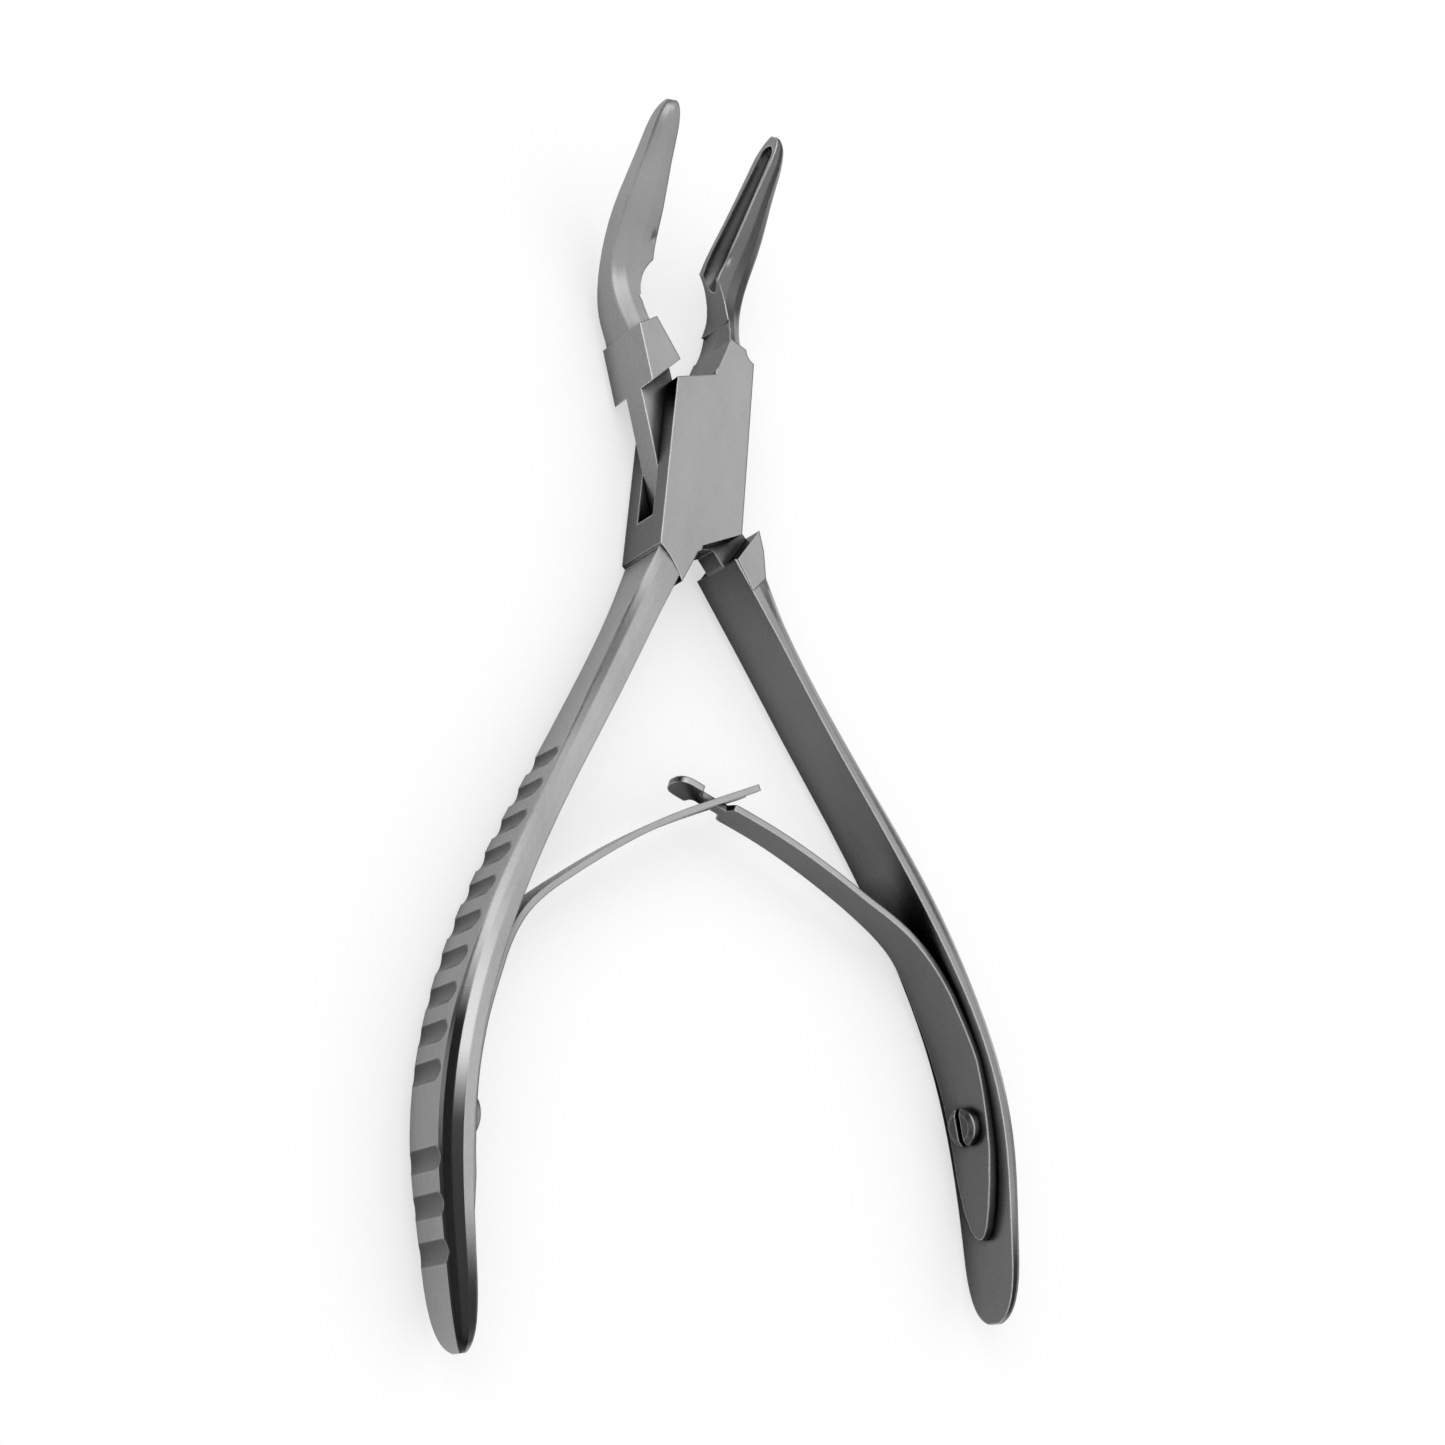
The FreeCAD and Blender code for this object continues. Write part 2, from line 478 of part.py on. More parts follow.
tongue_lower = plate("tongue_lower", outline(
    "tongue_lower_outline", (tongue_side, "0"), ("0", "0"), ("0", "overlap - slot_radius"),
    ("handle_step_inner_x - overlap", "handle_step_inner_y"),
    ("handle_step_inner_x + overlap / 2", "handle_step_inner_y - overlap"),
    ("handle_step_outer_x", "handle_step_outer_y - overlap"), (tongue_side, "handle_step_outer_y + overlap")), tongue_height)
tongue = fuse("tongue", tongue_disc, tongue_upper, tongue_lower)
outer_blank = fuse("outer_blank", handle, handle_shoulder, mirrored("left_jaw", cupped_jaw), jaw_shoulder)
tongue_blank = fuse("tongue_blank", cut("shoulders", outer_blank, swing), tongue)
tongue_cuts = fuse("tongue_cuts", drum("tongue_bore", "pin_radius + pin_clearance", "box_thickness * 2"), handle_cuts)
tongue_lever = cut("tongue_lever", tongue_blank, tongue_cuts)

# Pivot pin, flush with both faces of the box
pivot_pin = bind(feature("Part::Cylinder", "pivot_pin"), Radius="pin_radius", Height="box_thickness")

# Leaf of the right spring: a loft of rectangles, seated on the handle's inner face
def leaf_section(name, place, inner, outer):
    """Rectangle across the leaf, from its inner to its outer face."""
    sketch = outline(f"{name}_section", (inner, f"-{name}_half_width"), (outer, f"-{name}_half_width"),
                     (outer, f"{name}_half_width"), (inner, f"{name}_half_width"))
    sketch.setExpression("Placement", bound(place))
    return sketch


share = "(tail_down - leaf_ogive_down) / (tail_down - heel_down)"
seats = {"leaf_tail": ("tail_inset", "-tail_down + leaf_tail_shift", "tail_lean"),
         "leaf_ogive": (f"tail_inset + (heel_inset - tail_inset) * {share}", "-leaf_ogive_down",
                        f"tail_lean + (heel_lean - tail_lean) * {share}"),
         "leaf_heel": ("heel_inset", "-heel_down", "heel_lean"),
         "leaf_crest": ("crest_inset", "-crest_down", "crest_lean")}
leaf_sections = [leaf_section(name, f"placement(vector({x}; {y}; 0); rotation({lean}; 0; 90))",
                              f"-{name}_lift", "leaf_thickness")
                 for name, (x, y, lean) in seats.items()]
for name in ("leaf_rise", "leaf_bend", "leaf_arm", "leaf_middle"):
    place = f"placement(vector({name}_x; -{name}_down; 0); rotation({name}_lean; 0; 90))"
    leaf_sections.append(leaf_section(name, place, "-leaf_thickness / 2", "leaf_thickness / 2"))

# The leaves' ends at their crossing: a narrow neck with a T-shaped head, held in the other's fork
MEET = {end: f"placement(vector(-leaf_meet_down * tan(half_opening); -leaf_meet_down; 0); rotation({end}_lean; 0; 90))"
        for end in ("leaf_meet", "fork")}
meet_sections = {}
for end, place in MEET.items():
    sketch = leaf_section("leaf_meet", place, "-leaf_thickness / 2", "leaf_thickness / 2")
    meet_sections[end] = leaf_sections + [sketch]


def link_box(name, end, low, wide, back, along, thick="8 * leaf_thickness"):
    """Box square to a leaf's end at the crossing: low edge and width across, back end and length."""
    box = bind(feature("Part::Box", name), Length=thick, Width=wide, Height=along)
    shift = f"placement(vector(-({thick}) / 2; {low}; {back}); rotation(0; 0; 0))"
    return bind(box, Placement=f"{MEET[end]} * {shift}")


def link_disc(name, end, radius, back):
    """Short cylinder square to a leaf's end at the crossing."""
    disc = bind(feature("Part::Cylinder", name), Radius=radius, Height="8 * leaf_thickness")
    return bind(disc, Placement=f"{MEET[end]} * placement(vector(-4 * leaf_thickness; 0; {back}); rotation(0; 90; 0))")


neck = link_box("neck", "leaf_meet", "-link_width / 2", "link_width", "-link_reach - overlap", "link_reach + overlap",
                "leaf_thickness")
head_bar = link_box("head_bar", "leaf_meet", "-leaf_meet_half_width", "2 * leaf_meet_half_width", "-head_reach",
                    "head_reach - link_reach", "leaf_thickness")
t_head = common("t_head", head_bar, link_disc("head_round", "leaf_meet", "head_radius", "head_radius - head_reach"))
prongs = link_box("prongs", "fork", "-leaf_meet_half_width", "2 * leaf_meet_half_width", "-prong_length", "prong_length",
                  "leaf_thickness")
leaf = cut("leaf", fuse("leaf_blank", loft("leaf_loft", meet_sections["leaf_meet"]), neck, t_head), handle)
forked_leaf = cut("forked_leaf", fuse("forked_leaf_blank", loft("forked_leaf_loft", meet_sections["fork"]), prongs), handle)
leaf_hole = bind(feature("Part::Cylinder", "leaf_hole"), Radius="screw_radius + leaf_hole_clearance", Height="2 * clear_run")
leaf_hole.Placement = screw_place * FreeCAD.Placement(FreeCAD.Vector(0, 0, -val("clear_run")), FreeCAD.Rotation())
neck_cuts = [link_box(f"neck_side_{side}", "leaf_meet", low, "leaf_meet_half_width", "0", "link_length / 2")
             for side, low in enumerate(("link_width / 2", "-link_width / 2 - leaf_meet_half_width"), 1)]
t_head_spring = cut("t_head_spring", leaf, fuse("t_head_cuts", leaf_hole, *neck_cuts))
fork_slot = link_box("fork_slot", "fork", "-link_width / 2 - fork_gap", "link_width + 2 * fork_gap", "-clear_run",
                     "clear_run + fork_length")
fork_cuts = fuse("fork_cuts", leaf_hole, fork_slot, link_disc("fork_end", "fork", "link_width / 2 + fork_gap", "fork_length"))
forked_spring = cut("forked_spring", mirrored("left_leaf", forked_leaf), mirrored("left_fork_cuts", fork_cuts))

# Spring screw: a slotted head with a bevelled crown seated on the leaf, and a shank that fills the tapped hole
doc.recompute()
lift = "((leaf_heel_lift * (screw_down - crest_down) + leaf_crest_lift * (heel_down - screw_down)) / (heel_down - crest_down))"


def on_screw(thing, level, turn=FreeCAD.Rotation()):
    """Place an object on the screw's axis, at a level below the handle's inner face."""
    thing.Placement = screw_place * FreeCAD.Placement(FreeCAD.Vector(0, 0, val(level)), turn)
    return thing


top = f"-{lift} - screw_head_height - screw_dome"
head_crown = on_screw(bind(feature("Part::Cone", "head_crown"), Radius1="screw_crown_radius",
                           Radius2="screw_head_radius", Height="screw_dome"), top)
head_drum = on_screw(bind(feature("Part::Cylinder", "head_drum"), Radius="screw_head_radius",
                          Height="screw_head_height + leaf_thickness / 2"), f"{top} + screw_dome")
screw_head = cut("screw_head", fuse("head_blank", head_drum, head_crown), leaf)
shank = on_screw(bind(feature("Part::Cylinder", "shank"), Radius="screw_radius",
                      Height=f"{lift} + screw_head_height / 2 + screw_bite"), f"-{lift} - screw_head_height / 2")
slot_box = feature("Part::Box", "driver_slot")
bind(slot_box, Length="screw_slot", Width="4 * screw_head_radius", Height="screw_slot_depth + screw_dome")
slot_box.Placement = screw_place * FreeCAD.Placement(
    FreeCAD.Vector(-val("screw_slot") / 2, -val("screw_head_radius") * 2, val(top)), FreeCAD.Rotation())
screw_blank = fuse("screw_blank", screw_head, shank)
right_screw = cut("right_spring_screw", screw_blank, slot_box)
left_screw = cut("left_spring_screw", mirrored("left_screw_blank", screw_blank), mirrored("left_driver_slot", slot_box))

# The pieces as they rest: each lever, with its spring and screw, opened about the pivot
NODES = {"pivot_pin": "0", "box_lever": "-half_opening", "forked_spring": "-half_opening",
         "left_spring_screw": "-half_opening", "tongue_lever": "half_opening", "t_head_spring": "half_opening",
         "right_spring_screw": "half_opening"}
for name, turn in NODES.items():
    node = doc.getObject(name)
    node.Label = name
    level = "0" if name == "pivot_pin" else "box_thickness / 2"
    bind(node, Placement=f"placement(vector(0; 0; {level}); rotation({turn}; 0; 0))")

doc.recompute()
for thing in doc.Objects:
    if any(word in thing.State for word in ("Invalid", "Error")):
        raise RuntimeError(f"{thing.Name} did not recompute")
for name in NODES:
    shape = doc.getObject(name).Shape
    if shape.isNull() or not shape.isValid() or len(shape.Solids) != 1:
        raise RuntimeError(f"{name} is not one valid solid")
for name in NODES:
    doc.getObject(name).Shape.exportStep(f"parts/{name}.step")
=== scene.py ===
"""Bone rongeur, dressed: satin steel levers, flush pivot, spring leaves and a pale stage."""

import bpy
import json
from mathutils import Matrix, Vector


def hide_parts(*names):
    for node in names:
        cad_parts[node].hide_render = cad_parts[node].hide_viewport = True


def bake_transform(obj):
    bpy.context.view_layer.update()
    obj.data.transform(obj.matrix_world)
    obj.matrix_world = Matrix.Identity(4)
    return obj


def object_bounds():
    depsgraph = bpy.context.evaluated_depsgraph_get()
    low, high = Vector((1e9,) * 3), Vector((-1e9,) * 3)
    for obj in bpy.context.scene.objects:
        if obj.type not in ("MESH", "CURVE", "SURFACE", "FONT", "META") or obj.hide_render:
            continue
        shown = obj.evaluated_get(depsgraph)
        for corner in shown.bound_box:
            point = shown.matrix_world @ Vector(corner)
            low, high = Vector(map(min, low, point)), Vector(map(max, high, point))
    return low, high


bl_info = {
    "name": "Bone rongeur",
    "version": (1, 0, 0),
    "blender": (4, 5, 0),
    "location": "View3D > Sidebar > Rongeur",
    "description": "Finishes the rongeur's levers, springs and screws and sets up its stage",
    "category": "Object",
}

import json
import math

import bmesh
import bpy
from bpy.props import FloatProperty, FloatVectorProperty, PointerProperty
from bpy.types import Operator, Panel, PropertyGroup
from mathutils import Matrix, Vector

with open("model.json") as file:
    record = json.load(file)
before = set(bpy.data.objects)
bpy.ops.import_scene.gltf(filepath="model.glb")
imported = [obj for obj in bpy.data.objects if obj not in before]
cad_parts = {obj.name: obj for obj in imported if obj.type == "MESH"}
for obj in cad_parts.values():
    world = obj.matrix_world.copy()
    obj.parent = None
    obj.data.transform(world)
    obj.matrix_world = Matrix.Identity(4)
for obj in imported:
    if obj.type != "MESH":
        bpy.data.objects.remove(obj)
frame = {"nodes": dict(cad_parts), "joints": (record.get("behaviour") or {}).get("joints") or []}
CAD_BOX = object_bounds()

# Lever frame: a lever turned back by half the opening lies as in the closed instrument, with its
# handle down -y and the pivot at the origin. Places below are in this frame.
MM = 0.001
PIVOT = Vector(frame["joints"][0]["pos_m"])
HALF_OPENING = math.radians(9.83)
FLOOR_LEVEL = CAD_BOX[0][2] - 0.02 * MM
BOX_BOTTOM, BOX_TOP, JAW_START = -14 * MM, 19 * MM, 19 * MM
PIN_RADIUS = 2.2 * MM
# Rows of finger grooves, where their shade is painted: first groove below the pivot, pitch, last groove's
# number, front end
GROOVES = ((38.6 * MM, 3.9 * MM, 9, 1.3 * MM), (82.0 * MM, 4.15 * MM, 2, 1.9 * MM))
GROOVE_REACH = 1.2 * MM
# Painted dark reflection, a black band before the tail: where it starts to show and where it shows in full,
# and the place where it reaches the middle of the front, with the length of handle over which it spreads so
# far
BAND_START, BAND_FULL, BAND_TAIL, BAND_SPREAD = -62 * MM, -70 * MM, -100 * MM, 40 * MM


def grey(name, text, default):
    """A colour property."""
    return FloatVectorProperty(name=name, description=text, default=default, min=0, max=1, subtype="COLOR")


def length(name, text, default):
    """A length property, in metres."""
    return FloatProperty(name=name, description=text, default=default, min=0, unit="LENGTH")


def factor(name, text, default):
    """A property from 0 to 1."""
    return FloatProperty(name=name, description=text, default=default, min=0, max=1, subtype="FACTOR")


class SteelSettings(PropertyGroup):
    """Finish of the forged levers and of the small pieces; most of its greys are painted light and shade by
    the way a face looks.
    """

    # Painted light and shade by facing: front faces painted light, outer faces middling, inner faces and box
    # flanks painted shade.
    front: grey("Polished front", "Satin-polished front faces of the handles and the box", (0.35, 0.35, 0.35))
    outer: grey("Outer faces", "Ground outer faces of the handles and jaws", (0.27, 0.27, 0.27))
    inner: grey("Inner faces", "Less polished faces between the handles", (0.145, 0.145, 0.145))
    flank: grey("Box flanks", "Narrow sides of the box and the faces in its slot", (0.125, 0.125, 0.125))
    # Painted highlight along sharp edges.
    bright: grey("Bright edges", "Rubbed edges", (0.66, 0.66, 0.66))
    # Painted light and shade on the leaves by facing: front edges painted light, wide side faces painted
    # shade.
    leaf: grey("Leaf faces", "Wide faces of the spring leaves", (0.125, 0.125, 0.125))
    leaf_edge: grey("Leaf edges", "Ground edges of the spring leaves", (0.38, 0.38, 0.38))
    # Painted shade inside the finger grooves, and a painted dark reflection in the black band on the handles.
    dark: grey("Dark parts", "Insides of the grooves and the black band on the handles", (0.03, 0.03, 0.03))
    # Painted shade on the sides and hollows of the screw heads.
    screw: grey("Screw heads", "Dark faces of the spring screws", (0.07, 0.07, 0.07))
    gloss: factor("Roughness", "Roughness of the satin finish", 0.3)
    scratch: length("Grinding marks", "Distance between grinding marks", 0.22 * MM)
    edge: length("Edge radius", "Radius to which sharp edges are rubbed", 0.32 * MM)
    # Reach of the painted shade in gaps and hollows.
    recess: length("Recess depth", "Reach of the darkening in gaps and hollows", 5.0 * MM)


class LeafSettings(PropertyGroup):
    """Ends of the spring leaves at their crossing."""

    neck: length("Neck half width", "Half of the width of the neck that links the leaves", 0.75 * MM)
    fork_gap: length("Fork gap", "Gap between the neck and each prong", 0.15 * MM)
    prong: length("Prong length", "Prongs past the crossing", 5.7 * MM)
    reach: length("Neck reach", "Neck past the crossing, up to the head", 2.5 * MM)
    head: length("Head reach", "Far end of the T-shaped head past the crossing", 5.6 * MM)


class StageSettings(PropertyGroup):
    """Floor, light and camera."""

    floor: grey("Floor", "Colour of the floor", (0.92, 0.92, 0.92))
    whiteness: factor("Floor whiteness", "How far the floor is shown white to the camera", 0.6)
    key: FloatProperty(name="Key light", description="Strength of the key light", default=1.3, min=0,
                       unit="POWER")
    key_size: length("Key light size", "Width of the key light", 0.6)
    room: FloatProperty(name="Room light", description="Strength of the world's light", default=1.15, min=0)
    ceiling: grey("Ceiling", "Colour of the wide soft light overhead", (1.0, 1.0, 1.0))
    wall: grey("Walls", "Colour of the dim room round the table", (0.05, 0.05, 0.05))
    lens: FloatProperty(name="Lens", description="Focal length on a 36 mm sensor", default=52.27, min=1)
    distance: length("Distance", "Camera to the pivot along the view", 241.77 * MM)


class Socket:
    """An output of a node tree, or a plain number, that takes part in Python expressions."""

    def __init__(self, tree, link):
        self.tree, self.link = tree, link

    def math(self, operation, *values):
        return self.tree.node("ShaderNodeMath", {"operation": operation}, *values)

    def __add__(self, other):
        return self.math("ADD", self, other)

    def __radd__(self, other):
        return self.math("ADD", other, self)

    def __sub__(self, other):
        return self.math("SUBTRACT", self, other)

    def __rsub__(self, other):
        return self.math("SUBTRACT", other, self)

    def __mul__(self, other):
        return self.math("MULTIPLY", self, other)

    def __rmul__(self, other):
        return self.math("MULTIPLY", other, self)

    def __truediv__(self, other):
        return self.math("DIVIDE", self, other)

    def __gt__(self, other):
        return self.math("GREATER_THAN", self, other)

    def __lt__(self, other):
        return self.math("LESS_THAN", self, other)

    def floor(self):
        return self.math("FLOOR", self)

    def at_least(self, low):
        return self.math("MAXIMUM", self, low)

    def clamp(self):
        return self.tree.node("ShaderNodeClamp", {}, self)

    def rise(self, low, high):
        """0 below low, 1 above high and smooth between them."""
        settings = {"interpolation_type": "SMOOTHSTEP"}
        return self.tree.node("ShaderNodeMapRange", settings, self, low, high)


class Tree:
    """A material's or the world's node tree."""

    def __init__(self, owner):
        owner.use_nodes = True
        self.nodes, self.links = owner.node_tree.nodes, owner.node_tree.links
        self.nodes.clear()

    def node(self, kind, settings, *values, output=0, **named):
        """Add a node: its settings first, then the values or links of its sockets."""
        made = self.nodes.new(kind)
        for key, value in settings.items():
            setattr(made, key, value)
        sockets = list(enumerate(values)) + [(name.replace("_", " "), value) for name, value in named.items()]
        for key, value in sockets:
            target = made.inputs[key]
            if isinstance(value, Socket):
                self.links.new(value.link, target)
            elif value is not None:
                target.default_value = value
        return Socket(self, made.outputs[output]) if made.outputs else None

    def split(self, vector):
        """The three parts of a vector."""
        first = self.node("ShaderNodeSeparateXYZ", {}, vector)
        return [Socket(self, output) for output in first.link.node.outputs]

    def join(self, *parts):
        """A vector of three parts."""
        return self.node("ShaderNodeCombineXYZ", {}, *parts)

    def vector(self, operation, *values, **named):
        """Vector maths that gives a vector."""
        return self.node("ShaderNodeVectorMath", {"operation": operation}, *values, **named)

    def measure(self, operation, *values):
        """Vector maths that gives a number."""
        return self.node("ShaderNodeVectorMath", {"operation": operation}, *values, output=1)

    def open_air(self, reach):
        """1 in the open, less in gaps and hollows within reach."""
        return self.node("ShaderNodeAmbientOcclusion", {"samples": 8}, Distance=reach, output=1)

    def mix(self, share, low, high):
        """One colour that turns into another."""
        return self.blend("MIX", share, low, high)

    def blend(self, kind, share, low, high):
        """Blend of two colours."""
        colours = [(*value, 1) if not isinstance(value, Socket) else value for value in (low, high)]
        made = self.nodes.new("ShaderNodeMix")
        made.data_type, made.blend_type = "RGBA", kind
        for key, value in ((0, share), (6, colours[0]), (7, colours[1])):
            if isinstance(value, Socket):
                self.links.new(value.link, made.inputs[key])
            else:
                made.inputs[key].default_value = value
        return Socket(self, made.outputs[2])

    def surface(self, colour, roughness, normal):
        """Finish the tree with a metal surface."""
        shader = self.node("ShaderNodeBsdfPrincipled", {}, Base_Color=colour, Roughness=roughness,
                           Normal=normal, Metallic=1.0)
        self.node("ShaderNodeOutputMaterial", {}, shader)


def tree_of(name):
    """A new material and its tree."""
    material = bpy.data.materials.new(name)
    return material, Tree(material)


def grain(tree, place, spacing, stretch, detail):
    """Noise whose grain runs along the lever."""
    scale = Vector((1 / spacing, 1 / (spacing * stretch), 1 / spacing))
    mapping = tree.node("ShaderNodeMapping", {}, place, Scale=scale)
    return tree.node("ShaderNodeTexNoise", {}, mapping, Scale=1.0, Detail=detail, Roughness=0.6)


def grooves(tree, away, y, height, first, pitch, last, front):
    """Mask of the painted shade in a row of finger grooves on a handle's outer side, 1 at the upper edge of
    each groove and less towards its lower edge."""
    place = (-1 * y - first) / pitch
    row = (place + 0.5).floor()
    past = (place - row) * pitch
    reach = tree.measure("LENGTH", tree.join(past, (height - front).at_least(0.0), 0.0))
    inside = 1 - reach.rise(GROOVE_REACH - 0.2 * MM, GROOVE_REACH)
    inside = inside * (row > -0.5) * (row < last + 0.5) * away.rise(0.1, 0.3)
    return inside * (1 - (past + GROOVE_REACH) / (2 * GROOVE_REACH) * 0.45)


def paint_groove_shade_and_dark_band(tree, base, away, up, y, z, settings):
    """Handle with painted shade in its finger grooves, and a painted dark reflection: a black band that
    widens towards its tail.
    """
    upper, lower = (grooves(tree, away, y, z - PIVOT.z, *row) for row in GROOVES)
    # Painted shade inside the grooves.
    base = tree.mix((upper + lower) * 0.8, base, settings.dark)
    # Painted dark reflection: a black band on the handle's front before the tail.
    limit = (y - BAND_TAIL) / BAND_SPREAD - 0.1
    band = (away - limit).rise(-0.1, 0.1) * (1 - away.rise(0.88, 0.95)) * up.rise(0.0, 0.1)
    return tree.mix(band * (1 - y.rise(BAND_FULL, BAND_START)), base, settings.dark)


def faces(tree, away, up, y, front, outer, inner, flank, jaw):
    """Painted light and shade by the way that a face looks. The box may have flanks and the jaw a front of
    its own.
    """
    base = tree.mix(away.rise(-0.3, 0.7), inner, outer)
    if flank is not None:
        box = y.rise(BOX_BOTTOM, BOX_BOTTOM + 3 * MM) * (1 - y.rise(BOX_TOP - 4 * MM, BOX_TOP))
        base = tree.mix(box, base, flank)
    if jaw is not None:
        front = tree.mix(y.rise(JAW_START, JAW_START + 2 * MM), front, jaw)
    base = tree.mix(up.rise(0.2, 0.95), base, front)
    return tree.mix((-1 * up).rise(0.3, 0.95), base, outer)


def rubbed_normal(tree, x, y, settings, seam):
    """Normal with sharp edges rubbed round, and how sharp each edge was. Up to the seam's distance
    from the pivot the face stays flat, so that the pin doesn't show."""
    plain = tree.node("ShaderNodeNewGeometry", {}, output=1)
    rounded = tree.node("ShaderNodeBevel", {"samples": 6}, settings.edge)
    share = 1.0
    if seam:
        share = tree.measure("LENGTH", tree.join(x, y, 0.0)).rise(seam, seam + 0.1 * MM)
    turned = tree.vector("SUBTRACT", rounded, plain)
    shaped = tree.vector("ADD", plain, tree.vector("SCALE", turned, Scale=share))
    return shaped, (1 - tree.measure("DOT_PRODUCT", shaped, plain)).rise(0.015, 0.16)


def steel(name, turn, settings, front, outer, inner, flank=None, seam=0.0, jaw=None):
    """Ground and satin-polished steel, in one lever's own directions, with grinding marks: each way that a
    face looks has its own grey as painted light and shade, with a painted highlight on sharp edges and
    painted shade in gaps."""
    material, tree = tree_of(name)
    turned = Vector((0, 0, turn))
    place = tree.node("ShaderNodeMapping", {}, tree.node("ShaderNodeTexCoord", {}, output=3), Rotation=turned)
    facing = tree.node("ShaderNodeMapping", {"vector_type": "NORMAL"},
                       tree.node("ShaderNodeTexCoord", {}, output=1), Rotation=turned)
    (x, y, z), (across, _, up) = tree.split(place), tree.split(facing)
    marks = grain(tree, place, settings.scratch, 5.0, 4.0)
    cloud = grain(tree, place, 9 * MM, 2.5, 3.0)
    speck = grain(tree, place, 0.12 * MM, 1.0, 2.0)

    away = across * ((x > 0) * 2 - 1)
    # Painted light and shade by facing.
    base = faces(tree, away, up, y, front, outer, inner, flank, jaw)
    # Painted shade in the finger grooves and the painted dark band on the handles.
    if seam:
        base = paint_groove_shade_and_dark_band(tree, base, away, up, y, z, settings)
    tone = ((cloud - 0.5) * 0.7 + (marks - 0.5) * 0.25 + (speck - 0.5) * 0.5 + 0.5).clamp()
    base = tree.blend("OVERLAY", 0.75, base, tree.mix(tone, (0.25, 0.25, 0.25), (0.75, 0.75, 0.75)))

    shaped, sharp = rubbed_normal(tree, x, y, settings, seam)
    deep, near = tree.open_air(settings.recess), tree.open_air(settings.recess / 6)
    # Painted highlight along sharp edges, kept out of tight hollows.
    base = tree.mix(sharp * near.rise(0.35, 0.6) * (marks * 0.5 + 0.6), base, settings.bright)
    # Painted shade in gaps and hollows, darker where less open.
    shade = deep.rise(0.2, 0.9)
    shade = (shade * shade * 0.96 + 0.04) * near.rise(0.05, 0.75)
    base = tree.blend("MULTIPLY", 1.0, base, tree.mix(shade, (0.02, 0.02, 0.02), (1, 1, 1)))
    roughness = (marks - 0.5) * 0.2 + (cloud - 0.5) * 0.1 + settings.gloss
    normal = tree.node("ShaderNodeBump", {}, Strength=0.16, Distance=0.02 * MM, Height=marks + speck * 0.6,
                       Normal=shaped)
    tree.surface(base, roughness, normal)
    return material


def dress(node, material):
    """Give a node's own solid a material."""
    solid = frame["nodes"][node]
    solid.data.materials.clear()
    solid.data.materials.append(material)


class RONGEUR_OT_levers(Operator):
    """Finish the two forged levers and the pin"""

    bl_idname = "rongeur.levers"
    bl_label = "Levers"

    def execute(self, context):
        finish = context.scene.rongeur_steel
        # Each jaw's front gets painted light and shade of its own: the box lever's jaw the inner grey as
        # painted shade, the tongue lever's jaw the outer grey.
        for node, turn, flank, jaw in (("box_lever", HALF_OPENING, finish.flank, finish.inner),
                                       ("tongue_lever", -HALF_OPENING, None, finish.outer)):
            dress(node, steel(f"{node}_steel", turn, finish, finish.front, finish.outer, finish.inner, flank,
                              PIN_RADIUS, jaw))
        dress("pivot_pin", steel("pivot_pin_steel", HALF_OPENING, finish, finish.front, finish.outer,
                                 finish.inner, seam=PIN_RADIUS))
        return {"FINISHED"}


class RONGEUR_OT_screws(Operator):
    """Finish the spring screws"""

    bl_idname = "rongeur.screws"
    bl_label = "Screws"

    def execute(self, context):
        finish = context.scene.rongeur_steel
        for node, turn in (("left_spring_screw", HALF_OPENING), ("right_spring_screw", -HALF_OPENING)):
            # Screw heads: front faces take the outer grey, other faces the screw grey as painted shade.
            dress(node, steel(f"{node}_steel", turn, finish, finish.outer, finish.screw, finish.screw))
        return {"FINISHED"}


# Stations of a leaf in its lever's frame, in millimetres and degrees, from its tail to the crossing:
# place, lean, thickness and half width. Seated stations lie on the handle's inner face.
SEATED = ((18.95, -89.8, -12.0, 0.95, 0.25), (19.06, -89.5, -11.9, 1.05, 0.75),
          (19.24, -88.6, -11.6, 1.15, 1.3),
          (19.615, -86.5, -10.4, 1.2, 2.0), (20.2, -83.4, -9.2, 1.2, 2.6), (20.85, -80.0, -7.5, 1.15, 3.0),
          (21.15, -70.0, 5.0, 0.85, 3.6))
FREE = ((19.3, -62.5, 13.0, 0.75, 3.3), (17.0, -56.6, 31.0, 0.75, 2.65), (11.0, -50.2, 48.0, 0.75, 2.05),
        (0.0, -41.5, 56.5, 0.75, 1.9))
CROSSING = (-37.5 * math.tan(HALF_OPENING), -37.5)
LEAF_THICK, LEAF_HALF = 0.75, 1.9
FORK_LEAN, HEAD_LEAN = 59.5, 58.0
LEAF_STEP, END_STEP = 0.5, 0.15


